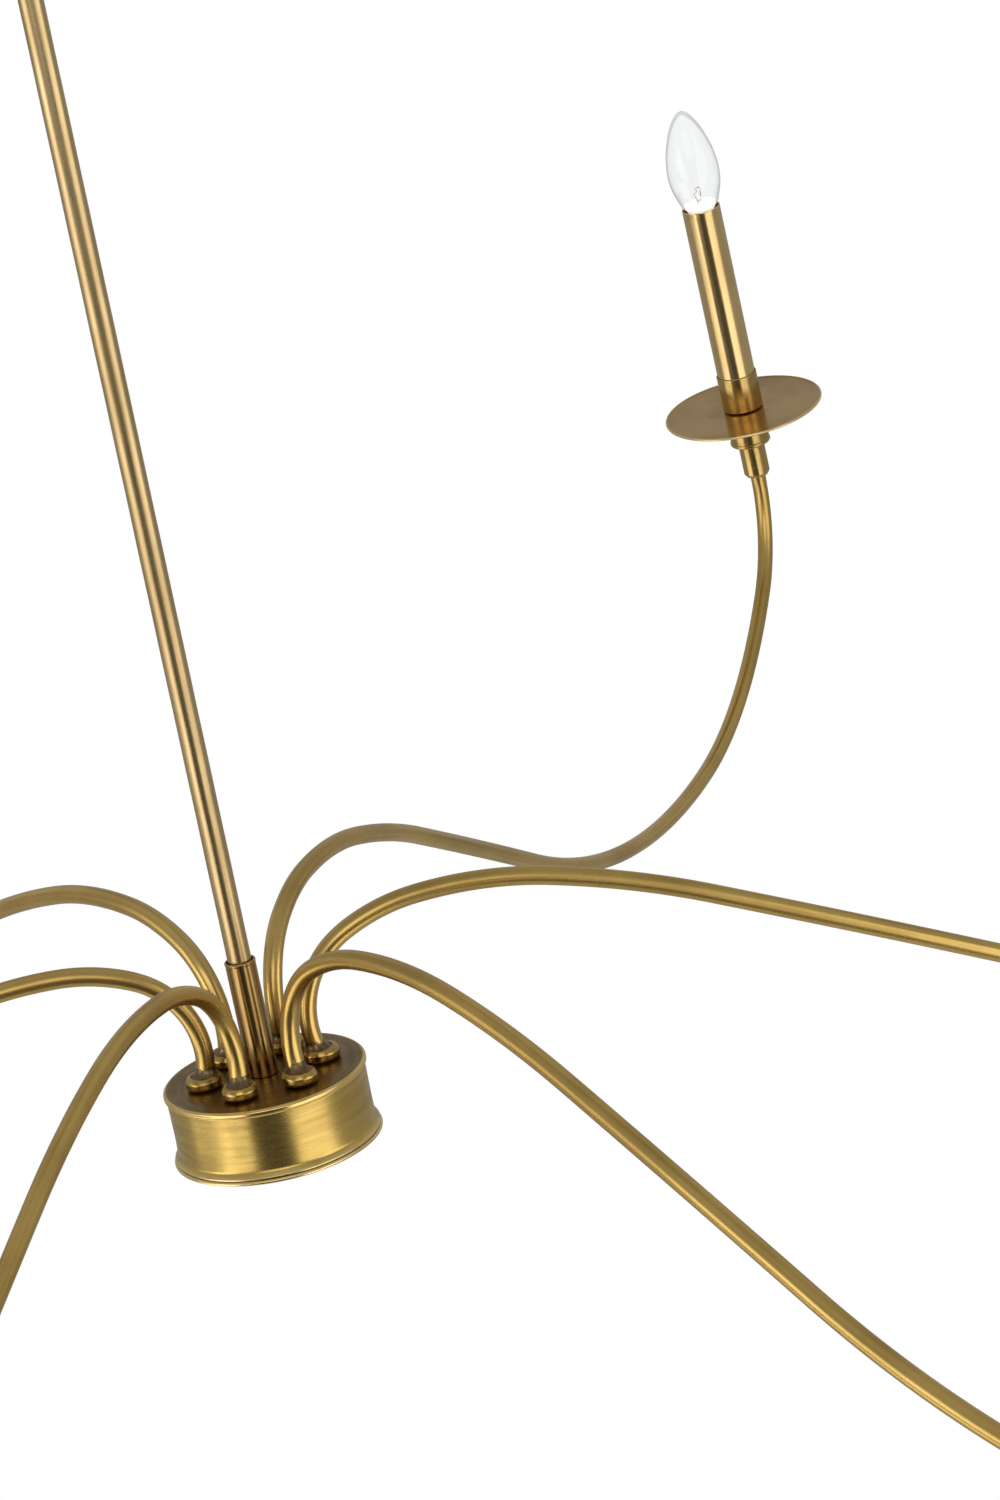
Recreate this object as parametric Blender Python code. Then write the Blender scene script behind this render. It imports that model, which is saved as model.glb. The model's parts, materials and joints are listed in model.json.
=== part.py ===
"""Six-arm hanging chandelier in antique brass, modelled as its separate pieces.

The ceiling face of the mounting plate is z = 0 and everything hangs below it. Sizes are in
millimetres and become metres when a mesh is made. A turned piece is a closed outline of
(radius, height) points spun about its axis.
"""

import math

import bmesh
import bpy
from mathutils import Matrix, Vector

MM = 0.001
GAP = 0.3                      # space left between pieces that touch
WELD = 1e-6                    # metres, closes the seam of a spun shape

# Ceiling end
PLATE_R, PLATE_T = 50.0, 3.0
BOSS_R, BOSS_END = 9.0, -14.0
NECK_R, NECK_TOP = 4.8, -6.0
CANOPY_R, CANOPY_DROP, CANOPY_WALL = 62.0, 26.0, 1.2
NUT_R, NUT_H = 11.5, 6.2
FORK_R, FORK_END = 8.0, -62.0
PIN_Z, PIN_R = -54.0, 2.0
SLOT_W = 4.8
STEM_TOP = -87.3

# Stem and hub
HUB_Z = -727.0                 # top face of the hub's plate
STEM_R, STEM_WALL = 6.3, 1.0
COLLAR_R, COLLAR_H = 8.0, 63.7
NIPPLE_R, NIPPLE_BORE = 4.9, 3.0
HUB_R, HUB_SIDES = 54.0, 24
HUB_H = 37.6
LEAD_HOLE_R = 2.4

# Arms
ARM_COUNT = 6
BEAD_CIRCLE_R = 31.6
BEAD_R, BEAD_BORE, BEAD_H = 9.2, 7.7, 7.0
ARM_R, ARM_WALL, ARM_SIDES = 5.1, 1.0, 8
ARM_FOOT = (-1.1, 5.0)         # from the bead's centre: outwards, upwards
ARM_FOOT_HEADING = 106.6       # degrees above the outward horizontal
ARM_BENDS = (                  # (length along the tube, turn in degrees)
    (71.6, -79.4),
    (41.0, -23.6),
    (73.0, -19.1),
    (89.0, -9.8),
    (177.0, -0.9),
    (326.0, 31.6),
    (189.0, 34.4),
    (85.0, 50.2),
)
ARM_SPIGOT = 6.0               # straight end inside the pan seat
FINEST_TURN, LONGEST_PIECE = 14.0, 130.0
ARM_SET = {                    # arm: (turn, rise, lean) in degrees, as it was soldered
    "b": (-0.3, -0.2, -0.7),
    "c": (0.0, 3.0, 0.0),
    "e": (-2.0, 1.0, 0.0),
    "f": (0.0, 0.0, 4.0),
}
TIGHTER_LAST_BEND = {"b": 7.7}  # degrees past upright, so this candle nods inwards

# Candle, measured up from where the arm enters the pan seat
COUPLER_R, COUPLER_H = 8.95, 24.5
SEAT_R, SEAT_TOP = 13.6, 48.6
PAN_R, PAN_T = 54.6, 1.2
CUP_R, CUP_WALL, CUP_H = 13.75, 0.5, 26.0
SLEEVE_R, SLEEVE_WALL = 13.0, 0.8
SLEEVE_TOP = 197.9
SOCKET_R, SOCKET_BOTTOM, SOCKET_TOP = 9.4, 138.5, 182.5
BASE_R = 6.1                   # candelabra screw base
BULB_R, BULB_TOP = 17.6, 266.0
GLASS_WALL = 0.8
CANDLE_SIDES, PAN_SIDES, BULB_SIDES = 12, 20, 8

FINISHES = {                   # colour, roughness, metallic
    "antique_brass": ((0.46, 0.31, 0.11), 0.32, 1.0),
    "dark_brass": ((0.27, 0.18, 0.08), 0.38, 1.0),
    "candle_brass": ((0.60, 0.45, 0.19), 0.28, 1.0),
    "zinc_steel": ((0.55, 0.56, 0.57), 0.40, 1.0),
    "socket_black": ((0.03, 0.03, 0.03), 0.50, 0.0),
    "bulb_glass": ((0.90, 0.92, 0.93), 0.05, 0.0),
}


def clear_scene():
    for thing in list(bpy.data.objects):
        bpy.data.objects.remove(thing, do_unlink=True)


def finish(name):
    """The material of one finish, made on first use."""
    if name in bpy.data.materials:
        return bpy.data.materials[name]
    colour, roughness, metallic = FINISHES[name]
    made = bpy.data.materials.new(name)
    made.use_nodes = True
    shader = made.node_tree.nodes["Principled BSDF"]
    shader.inputs["Base Color"].default_value = (*colour, 1.0)
    shader.inputs["Roughness"].default_value = roughness
    shader.inputs["Metallic"].default_value = metallic
    if name == "bulb_glass":
        shader.inputs["Transmission Weight"].default_value = 1.0
    return made


def add_piece(name, shape, finish_name, parent=None):
    """Turns a bmesh into a named object with its material, smooth where it is round."""
    bmesh.ops.recalc_face_normals(shape, faces=shape.faces)
    mesh = bpy.data.meshes.new(name)
    shape.to_mesh(mesh)
    shape.free()
    mesh.shade_smooth()
    mesh.set_sharp_from_angle(angle=math.radians(40))
    mesh.materials.append(finish(finish_name))
    piece = bpy.data.objects.new(name, mesh)
    piece.parent = parent
    bpy.context.collection.objects.link(piece)
    return piece


def add_empty(name, place, parent=None):
    empty = bpy.data.objects.new(name, None)
    empty.parent = parent
    empty.matrix_local = place
    bpy.context.collection.objects.link(empty)
    return empty


def spun(outline, sides):
    """A closed outline of (radius, height) points, turned once round the vertical axis."""
    shape = bmesh.new()
    ring = [shape.verts.new((r * MM, 0.0, z * MM)) for r, z in outline]
    pairs = zip(ring, ring[1:] + ring[:1])
    edges = [shape.edges.new(pair) for pair in pairs if pair[0].co.x + pair[1].co.x > 0.0]
    bmesh.ops.spin(
        shape, geom=ring + edges, axis=(0.0, 0.0, 1.0), cent=(0.0, 0.0, 0.0),
        angle=math.tau, steps=sides, use_merge=True,
    )
    bmesh.ops.remove_doubles(shape, verts=shape.verts, dist=WELD)
    return shape


def turned(name, outline, sides, finish_name, parent=None):
    return add_piece(name, spun(outline, sides), finish_name, parent)


def box_into(shape, low, high):
    """Adds a box between two corners to a bmesh."""
    middle = (Vector(low) + Vector(high)) * 0.5 * MM
    size = (Vector(high) - Vector(low)) * MM
    place = Matrix.Translation(middle) @ Matrix.Diagonal((*size, 1.0))
    bmesh.ops.create_cube(shape, size=1.0, matrix=place)


def rod_into(shape, centre, radius, length, turn):
    """Adds a round rod to a bmesh; turn takes +Z to the way that it lies."""
    place = Matrix.Translation(Vector(centre) * MM) @ turn
    bmesh.ops.create_cone(
        shape, cap_ends=True, segments=12, radius1=radius * MM, radius2=radius * MM,
        depth=length * MM, matrix=place,
    )


def cut(piece, shape):
    """Takes a bmesh's boxes and rods out of a piece."""
    bmesh.ops.recalc_face_normals(shape, faces=shape.faces)
    mesh = bpy.data.meshes.new(piece.name + "_cutter")
    shape.to_mesh(mesh)
    shape.free()
    cutter = bpy.data.objects.new(mesh.name, mesh)
    cutter.parent = piece.parent
    cutter.hide_render = True
    cutter.display_type = "WIRE"
    bpy.context.collection.objects.link(cutter)
    boolean = piece.modifiers.new("cut", "BOOLEAN")
    boolean.operation = "DIFFERENCE"
    boolean.solver = "EXACT"
    boolean.object = cutter


UPRIGHT = Matrix.Identity(4)
ALONG_X = Matrix.Rotation(math.radians(90), 4, "Y")


def build_ceiling_plate():
    """Steel disc against the ceiling box, with a threaded boss, two slots and a wire hole."""
    screw_out, slot_half, slot_reach = 35.0, 2.5, 6.0
    wire_out, wire_r = 24.0, 5.0
    plate = turned("ceiling_plate", (
        (0.0, 0.0), (PLATE_R, 0.0), (PLATE_R, -PLATE_T), (BOSS_R, -PLATE_T),
        (BOSS_R, BOSS_END), (NECK_R + GAP, BOSS_END), (NECK_R + GAP, NECK_TOP + 1.0),
        (0.0, NECK_TOP + 1.0),
    ), 24, "zinc_steel")
    holes = bmesh.new()
    for side in (-1, 1):
        x = side * screw_out
        box_into(holes, (x - slot_reach, -slot_half, -2 * PLATE_T),
                 (x + slot_reach, slot_half, PLATE_T))
    rod_into(holes, (0.0, wire_out, 0.0), wire_r, 4 * PLATE_T, UPRIGHT)
    cut(plate, holes)


def build_canopy():
    """Spun brass cover over the ceiling box, and the ring nut that holds it up."""
    bore, round_off = NECK_R + GAP, 8.0
    inner = CANOPY_R - CANOPY_WALL
    bottom, floor = -CANOPY_DROP, -CANOPY_DROP + CANOPY_WALL
    turned("canopy", (
        (bore, bottom), (CANOPY_R - 1.3 * round_off, bottom), (CANOPY_R - 2.4, bottom + 3.2),
        (CANOPY_R, bottom + round_off), (CANOPY_R, -0.5), (inner, -0.5),
        (inner, bottom + round_off), (inner - 2.0, floor + 3.0),
        (inner - 1.2 * round_off, floor), (bore, floor),
    ), 20, "antique_brass")
    top = bottom - GAP
    turned("canopy_ring_nut", (
        (bore, top), (bore, top - NUT_H), (NUT_R - 1.0, top - NUT_H),
        (NUT_R, top - NUT_H + 1.0), (NUT_R, top - 1.0), (NUT_R - 1.0, top),
    ), 12, "antique_brass")


def build_swivel(pendant):
    """Hang-straight swivel: a slotted fork on the ceiling side, a tongue on the stem."""
    shoulder = -CANOPY_DROP - GAP - NUT_H - GAP
    fork = turned("swivel_fork", (
        (0.0, NECK_TOP), (NECK_R, NECK_TOP), (NECK_R, shoulder), (FORK_R, shoulder),
        (FORK_R, FORK_END), (0.0, FORK_END),
    ), 12, "antique_brass")
    slot_top, reach = PIN_Z + 9.0, FORK_R + 2.0
    space = bmesh.new()
    box_into(space, (-SLOT_W / 2, -reach, FORK_END - 1.0), (SLOT_W / 2, reach, slot_top))
    cut(fork, space)
    pin_hole(fork)
    head_r, head_t, half = 3.3, 1.3, FORK_R + GAP
    pin = turned("swivel_pin", (
        (0.0, -half - head_t), (head_r, -half - head_t), (head_r, -half), (PIN_R, -half),
        (PIN_R, half), (head_r, half), (head_r, half + head_t), (0.0, half + head_t),
    ), 12, "zinc_steel")
    pin.matrix_local = Matrix.Translation((0.0, 0.0, PIN_Z * MM)) @ ALONG_X
    blade_r, barrel_r, plug_r, plug_end = 6.0, 7.2, 5.0, STEM_TOP - 18.0
    barrel_top = PIN_Z - 17.0
    tongue = turned("swivel_tongue", (
        (0.0, 6.0), (4.2, 5.2), (blade_r, 2.5), (blade_r, barrel_top - PIN_Z + 1.0),
        (barrel_r, barrel_top - PIN_Z), (barrel_r, STEM_TOP + GAP - PIN_Z),
        (plug_r, STEM_TOP + GAP - PIN_Z), (plug_r, plug_end - PIN_Z),
        (0.0, plug_end - PIN_Z),
    ), 12, "antique_brass", pendant)
    cheeks = bmesh.new()
    blade_half = SLOT_W / 2 - GAP
    for side in (-1, 1):
        low_x, high_x = sorted((side * blade_half, side * reach))
        box_into(cheeks, (low_x, -reach, barrel_top - PIN_Z + 1.0), (high_x, reach, reach))
    cut(tongue, cheeks)
    pin_hole(tongue)


def pin_hole(piece):
    """Bores the cross hole of the swivel pin."""
    height = 0.0 if piece.parent else PIN_Z
    hole = bmesh.new()
    rod_into(hole, (0.0, 0.0, height), PIN_R + GAP, 4 * FORK_R, ALONG_X)
    cut(piece, hole)


def build_stem(hub):
    """Straight tube, the collar round its foot and the headed nipple that clamps the plate."""
    top = STEM_TOP - HUB_Z
    turned("stem", (
        (STEM_R, 2 * GAP), (STEM_R, top), (STEM_R - STEM_WALL, top),
        (STEM_R - STEM_WALL, 2 * GAP),
    ), 12, "antique_brass", hub)
    bore, lip = STEM_R + GAP, 1.2
    turned("stem_collar", (
        (bore, GAP), (COLLAR_R, GAP), (COLLAR_R, COLLAR_H - lip),
        (COLLAR_R - 0.5, COLLAR_H), (bore, COLLAR_H),
    ), 12, "antique_brass", hub)
    head_r, head_t, reach = 9.0, 3.7, 46.0
    under = -2.0 - GAP
    turned("stem_nipple", (
        (NIPPLE_BORE, under - head_t), (head_r, under - head_t), (head_r, under),
        (NIPPLE_R, under), (NIPPLE_R, reach), (NIPPLE_BORE, reach),
    ), 12, "zinc_steel", hub)


def build_hub(hub):
    """Canister: plate with a rolled rim, waisted wall with a flared lip, pressed bottom."""
    plate_t, rim_drop, bore = 2.0, 3.2, NIPPLE_R + 0.7
    plate = turned("hub_top_plate", (
        (bore, 0.0), (HUB_R - 1.2, 0.0), (HUB_R, -1.4), (HUB_R - 0.8, -rim_drop + 0.2),
        (HUB_R - 2.1, -rim_drop), (HUB_R - 2.8, -plate_t), (bore, -plate_t),
    ), HUB_SIDES, "dark_brass", hub)
    holes = bmesh.new()
    for number in range(ARM_COUNT):
        where = Matrix.Rotation(math.tau * number / ARM_COUNT, 3, "Z")
        centre = where @ Vector((BEAD_CIRCLE_R, 0.0, 0.0))
        rod_into(holes, centre, LEAD_HOLE_R, 4 * rim_drop, UPRIGHT)
    cut(plate, holes)
    top, thickness = -plate_t - GAP, 1.2
    neck = HUB_R - 3.1
    turned("hub_wall", (
        (neck, top), (neck - 0.3, -14.0), (neck + 0.5, -27.0), (neck + 2.3, -34.0),
        (neck + 4.4, -HUB_H + 1.0), (neck + 4.4, -HUB_H), (neck + 2.5, -HUB_H),
        (neck + 2.3 - thickness, -34.2), (neck + 0.5 - thickness, -27.0),
        (neck - 0.3 - thickness, -14.0), (neck - thickness, top),
    ), HUB_SIDES, "antique_brass", hub)
    cover_top = -HUB_H - GAP
    turned("hub_bottom_cover", (
        (0.0, cover_top), (HUB_R + 0.2, cover_top), (HUB_R + 1.4, cover_top - 0.7),
        (HUB_R + 1.2, cover_top - 1.9), (HUB_R - 0.4, cover_top - 2.4),
        (HUB_R - 1.6, cover_top - 1.5), (0.0, cover_top - 1.5),
    ), HUB_SIDES, "antique_brass", hub)


def arm_line(letter):
    """Points and headings down the middle of the arm; each bend is a true arc."""
    last_length, last_turn = ARM_BENDS[-1]
    last_bend = (last_length, last_turn + TIGHTER_LAST_BEND.get(letter, 0.0))
    points = [Vector((ARM_FOOT[0], 0.0, ARM_FOOT[1]))]
    headings = [math.radians(ARM_FOOT_HEADING)]
    for length, turn in (*ARM_BENDS[:-1], last_bend, (ARM_SPIGOT, 0.0)):
        pieces = max(math.ceil(abs(turn) / FINEST_TURN), math.ceil(length / LONGEST_PIECE))
        half_turn = math.radians(turn) / pieces / 2
        chord = length / pieces
        if half_turn:
            chord *= math.sin(half_turn) / half_turn
        for _ in range(pieces):
            middle = headings[-1] + half_turn
            step = Vector((math.cos(middle), 0.0, math.sin(middle))) * chord
            points.append(points[-1] + step)
            headings.append(headings[-1] + 2 * half_turn)
    return points, headings


def build_arm_tube(name, parent, letter):
    """Open tube: an outer and an inner skin of rings along the arm's line."""
    shape = bmesh.new()
    skins = []
    for radius in (ARM_R, ARM_R - ARM_WALL):
        rings = []
        for point, heading in zip(*arm_line(letter)):
            across = Vector((-math.sin(heading), 0.0, math.cos(heading)))
            angles = [math.tau * k / ARM_SIDES for k in range(ARM_SIDES)]
            offsets = [across * math.cos(a) + Vector((0.0, math.sin(a), 0.0)) for a in angles]
            rings.append([shape.verts.new((point + o * radius) * MM) for o in offsets])
        skins.append(rings)
    outer, inner = skins
    loops = outer + inner[::-1]
    for first, second in zip(loops, loops[1:] + loops[:1]):
        for k in range(ARM_SIDES):
            n = (k + 1) % ARM_SIDES
            shape.faces.new((first[k], first[n], second[n], second[k]))
    return add_piece(name, shape, "antique_brass", parent)


def build_bead(name, parent):
    turned(name, (
        (BEAD_BORE, GAP), (BEAD_R - 0.9, GAP), (BEAD_R, 2.4), (BEAD_R, 4.8),
        (BEAD_R - 0.9, BEAD_H), (BEAD_BORE, BEAD_H),
    ), CANDLE_SIDES, "antique_brass", parent)


def build_pan_seat(name, parent):
    """Coupler on the arm's end, the flange under the pan and the threaded tube above it."""
    tube_bore, chamfer = ARM_R + 0.6, 2.2
    bore_end, spigot_top = ARM_SPIGOT + 2.5, SOCKET_BOTTOM + 11.5
    turned(name, (
        (tube_bore, 0.0), (COUPLER_R - chamfer + 0.4, 0.0), (COUPLER_R, chamfer),
        (COUPLER_R, COUPLER_H), (SEAT_R - 1.0, COUPLER_H), (SEAT_R, COUPLER_H + 1.1),
        (SEAT_R, SEAT_TOP), (NIPPLE_R, SEAT_TOP), (NIPPLE_R, spigot_top),
        (NIPPLE_BORE, spigot_top), (NIPPLE_BORE, bore_end), (tube_bore, bore_end),
    ), CANDLE_SIDES, "antique_brass", parent)


def build_pan(name, parent):
    bottom = SEAT_TOP + GAP
    top, bore = bottom + PAN_T, NIPPLE_R + 0.6
    turned(name, (
        (bore, bottom), (PAN_R - 1.2, bottom), (PAN_R, bottom + 1.0),
        (PAN_R - 0.7, bottom + 1.8), (PAN_R - 1.6, top), (bore, top),
    ), PAN_SIDES, "dark_brass", parent)


def cup_bottom():
    return SEAT_TOP + GAP + PAN_T + GAP


def build_cup(name, parent):
    bottom, floor_t, bore = cup_bottom(), 1.2, NIPPLE_R + 0.6
    floor, inner = bottom + floor_t, CUP_R - CUP_WALL
    turned(name, (
        (bore, bottom), (CUP_R - 0.7, bottom), (CUP_R, bottom + 0.8), (CUP_R, bottom + CUP_H),
        (inner, bottom + CUP_H), (inner, floor), (bore, floor),
    ), CANDLE_SIDES, "candle_brass", parent)
    return floor


def build_sleeve(name, bottom, parent):
    inner = SLEEVE_R - SLEEVE_WALL
    turned(name, (
        (SLEEVE_R, bottom), (SLEEVE_R, SLEEVE_TOP), (inner, SLEEVE_TOP), (inner, bottom),
    ), CANDLE_SIDES, "candle_brass", parent)


def build_socket(name, parent):
    """Lamp holder on top of the threaded tube, with the well that the bulb screws into."""
    well_r, well_floor, stem_bore = BASE_R + 0.4, SOCKET_TOP - 22.5, NIPPLE_R + 0.5
    bore_end, lead_r = SOCKET_BOTTOM + 13.5, 2.2
    turned(name, (
        (stem_bore, SOCKET_BOTTOM), (SOCKET_R, SOCKET_BOTTOM), (SOCKET_R, SOCKET_TOP),
        (well_r, SOCKET_TOP), (well_r, well_floor), (lead_r, well_floor),
        (lead_r, bore_end), (stem_bore, bore_end),
    ), CANDLE_SIDES, "socket_black", parent)


def build_bulb(name, parent):
    """Screw base and clear glass; open at the foot, as the blown envelope is."""
    foot, base_top, tip_hole = SOCKET_TOP - 20.5, SOCKET_TOP + 0.5, 1.5
    outside = (
        (BASE_R, base_top), (8.0, base_top + 5.0), (11.7, SLEEVE_TOP), (BULB_R, 219.0),
        (16.3, 236.0), (8.8, 258.0),
    )
    inside = [(r - GLASS_WALL, z - 0.3) for r, z in outside[::-1]]
    outline = (
        (tip_hole, foot), (BASE_R - 1.6, foot), (BASE_R, foot + 2.0), *outside,
        (0.0, BULB_TOP), (0.0, BULB_TOP - 1.2), *inside,
        (BASE_R - GLASS_WALL, foot + 3.0), (tip_hole, foot + 1.4),
    )
    turned(name, outline, BULB_SIDES, "bulb_glass", parent)


def build_arm(number, hub):
    """One bead, one arm and the candle on its end; the arm turns about the bead's centre."""
    letter = "abcdef"[number]
    turn, rise, lean = ARM_SET.get(letter, (0.0, 0.0, 0.0))
    about_stem = Matrix.Rotation(math.tau * number / ARM_COUNT, 4, "Z")
    on_bead = about_stem @ Matrix.Translation((BEAD_CIRCLE_R * MM, 0.0, 0.0))
    as_set = (
        Matrix.Rotation(math.radians(turn), 4, "Z")
        @ Matrix.Rotation(math.radians(-lean), 4, "X")
        @ Matrix.Rotation(math.radians(-rise), 4, "Y")
    )
    bead_place = add_empty(f"bead_place_{letter}", on_bead, hub)
    build_bead(f"bead_{letter}", bead_place)
    arm_place = add_empty(f"arm_place_{letter}", as_set, bead_place)
    build_arm_tube(f"arm_{letter}", arm_place, letter)
    points, headings = arm_line(letter)
    end_way = Vector((math.cos(headings[-1]), 0.0, math.sin(headings[-1])))
    end = points[-1] - end_way * ARM_SPIGOT
    nod = Matrix.Rotation(math.radians(90.0) - headings[-1], 4, "Y")
    on_end = Matrix.Translation(end * MM) @ nod
    candle = add_empty(f"candle_place_{letter}", on_end, arm_place)
    build_pan_seat(f"pan_seat_{letter}", candle)
    build_pan(f"drip_pan_{letter}", candle)
    floor = build_cup(f"candle_cup_{letter}", candle)
    build_sleeve(f"candle_sleeve_{letter}", floor + GAP, candle)
    build_socket(f"socket_{letter}", candle)
    build_bulb(f"bulb_{letter}", candle)


def build_chandelier():
    clear_scene()
    build_ceiling_plate()
    build_canopy()
    pendant = add_empty("pendant", Matrix.Translation((0.0, 0.0, PIN_Z * MM)))
    build_swivel(pendant)
    hub_place = Matrix.Translation((0.0, 0.0, (HUB_Z - PIN_Z) * MM))
    hub = add_empty("hub_place", hub_place, pendant)
    build_stem(hub)
    build_hub(hub)
    for number in range(ARM_COUNT):
        build_arm(number, hub)


build_chandelier()
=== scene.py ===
# %% [markdown]
# # A six-arm brass chandelier
#
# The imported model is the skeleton: it says where every piece is and what turns. Each cell
# below gives one piece of the real lamp its true surface, and each surface is a formula on a
# grid of two parameters, so every piece can be read, changed and rebuilt from a few sizes.

# %% Load the skeleton and measure it
import json
import math

import bmesh
import bpy
import numpy as np
from mathutils import Matrix, Vector

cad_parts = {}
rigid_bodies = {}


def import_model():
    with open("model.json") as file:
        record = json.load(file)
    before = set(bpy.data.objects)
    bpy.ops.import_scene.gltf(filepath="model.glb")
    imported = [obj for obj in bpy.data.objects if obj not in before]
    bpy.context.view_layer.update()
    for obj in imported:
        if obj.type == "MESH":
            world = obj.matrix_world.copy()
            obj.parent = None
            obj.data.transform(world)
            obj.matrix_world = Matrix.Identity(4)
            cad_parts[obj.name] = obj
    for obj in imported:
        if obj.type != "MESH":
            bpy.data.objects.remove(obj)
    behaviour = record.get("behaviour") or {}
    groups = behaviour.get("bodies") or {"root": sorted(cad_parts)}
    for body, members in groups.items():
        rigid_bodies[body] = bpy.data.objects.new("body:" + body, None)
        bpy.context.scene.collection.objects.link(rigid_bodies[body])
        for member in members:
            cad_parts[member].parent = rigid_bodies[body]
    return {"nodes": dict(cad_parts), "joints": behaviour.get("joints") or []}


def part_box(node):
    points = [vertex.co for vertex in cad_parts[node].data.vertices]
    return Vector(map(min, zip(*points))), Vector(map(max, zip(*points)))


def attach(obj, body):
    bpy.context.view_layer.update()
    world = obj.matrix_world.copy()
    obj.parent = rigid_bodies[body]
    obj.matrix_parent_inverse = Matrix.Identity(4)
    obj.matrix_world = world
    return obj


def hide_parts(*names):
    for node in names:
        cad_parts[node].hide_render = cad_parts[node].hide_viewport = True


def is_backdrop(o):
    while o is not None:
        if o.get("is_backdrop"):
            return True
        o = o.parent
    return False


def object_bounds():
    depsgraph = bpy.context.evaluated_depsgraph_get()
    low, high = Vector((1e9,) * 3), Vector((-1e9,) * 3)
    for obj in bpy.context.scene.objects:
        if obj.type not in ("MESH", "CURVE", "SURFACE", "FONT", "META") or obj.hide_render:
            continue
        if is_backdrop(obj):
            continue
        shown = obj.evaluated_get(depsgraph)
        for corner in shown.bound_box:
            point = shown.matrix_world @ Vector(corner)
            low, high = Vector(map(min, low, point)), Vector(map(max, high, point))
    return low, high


for started_with in list(bpy.data.objects):      # an empty scene, however Blender was started
    bpy.data.objects.remove(started_with)
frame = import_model()
CAD_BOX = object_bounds()
MM = 0.001
ARMS = "abcdef"


# %% [markdown]
# ## How a surface is laid
#
# Nearly everything on this lamp was spun on a lathe or bent from tube. Both are one idea:
# a ring of points repeated along a line. A ring that shrinks to a point is a pole and is
# kept as one vertex, so the skin stays closed. Each vertex also remembers where it is on
# the skin: the way round as a cosine and a sine, so that a pattern has no seam, and the way
# along in metres. Grain and streaks follow that, as polishing marks follow the real work.

# %% Lay a grid of points as a closed skin
def lay_skin(name, points, skin, wear, close_rows):
    """points is rows x columns x 3. Columns go round and always close; rows close if asked.

    Corner (i, j) joins (i, j+1), (i+1, j+1) and (i+1, j); a row without width is one vertex.
    """
    rows, columns = points.shape[:2]
    number = np.arange(rows * columns).reshape(rows, columns)
    pole = np.ptp(points, axis=1).max(axis=1) < 1e-9
    number[pole] = number[pole][:, :1]
    first = number if close_rows else number[:-1]
    second = np.roll(number, -1, axis=0) if close_rows else number[1:]
    corners = np.stack([first, np.roll(first, -1, 1), np.roll(second, -1, 1), second], axis=2)
    corners = corners.reshape(-1, 4)
    thin_first = corners[:, 0] == corners[:, 1]
    thin_second = corners[:, 2] == corners[:, 3]
    used, compact = np.unique(corners, return_inverse=True)
    corners = compact.reshape(-1, 4)
    quads = corners[~thin_first & ~thin_second].tolist()
    fans = corners[thin_first & ~thin_second][:, 1:].tolist()
    fans += corners[thin_second & ~thin_first][:, :3].tolist()
    mesh = bpy.data.meshes.new(name)
    mesh.from_pydata(points.reshape(-1, 3)[used], [], quads + fans)
    for label, kind, field, values in (
        ("skin", "FLOAT_VECTOR", "vector", skin.reshape(-1, 3)[used]),
        ("wear", "FLOAT", "value", wear.reshape(-1)[used]),
    ):
        layer = mesh.attributes.new(label, kind, "POINT")
        layer.data.foreach_set(field, np.ascontiguousarray(values, dtype=np.float32).ravel())
    return mesh


def face_outwards(mesh):
    """Recalculates the normals, so that every face of a closed skin points outwards."""
    work = bmesh.new()
    work.from_mesh(mesh)
    bmesh.ops.recalc_face_normals(work, faces=work.faces)
    work.to_mesh(mesh)
    work.free()


def add_object(name, data):
    made = bpy.data.objects.new(name, data)
    bpy.context.scene.collection.objects.link(made)
    return made


def place_piece(mesh, material, nodes=(), body="pendant", sharp=35):
    """Makes the piece's object, gives it its finish and lets it ride on its CAD body."""
    face_outwards(mesh)
    mesh.shade_smooth()
    mesh.set_sharp_from_angle(angle=math.radians(sharp))
    mesh.materials.append(material)
    piece = add_object(mesh.name, mesh)
    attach(piece, body)
    if nodes:
        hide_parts(*nodes)
    return piece


# %% [markdown]
# ## Turned outlines
#
# A lathe tool leaves no knife edge: every corner is eased by a few tenths. An outline is
# written as (radius, height, easing) corners in millimetres and each corner is swapped for
# an arc. Where an arc bulges outwards, hands and cloths rub the patina off, so the arc's own
# points are marked as worn.

# %% Ease the corners of an outline
ARC_POINTS = 7
FULLY_WORN_REACH = 0.4          # mm; a smaller easing is worn less
LEAST_BULGE = 0.05              # sine of the smallest outward turn that is rubbed


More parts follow.
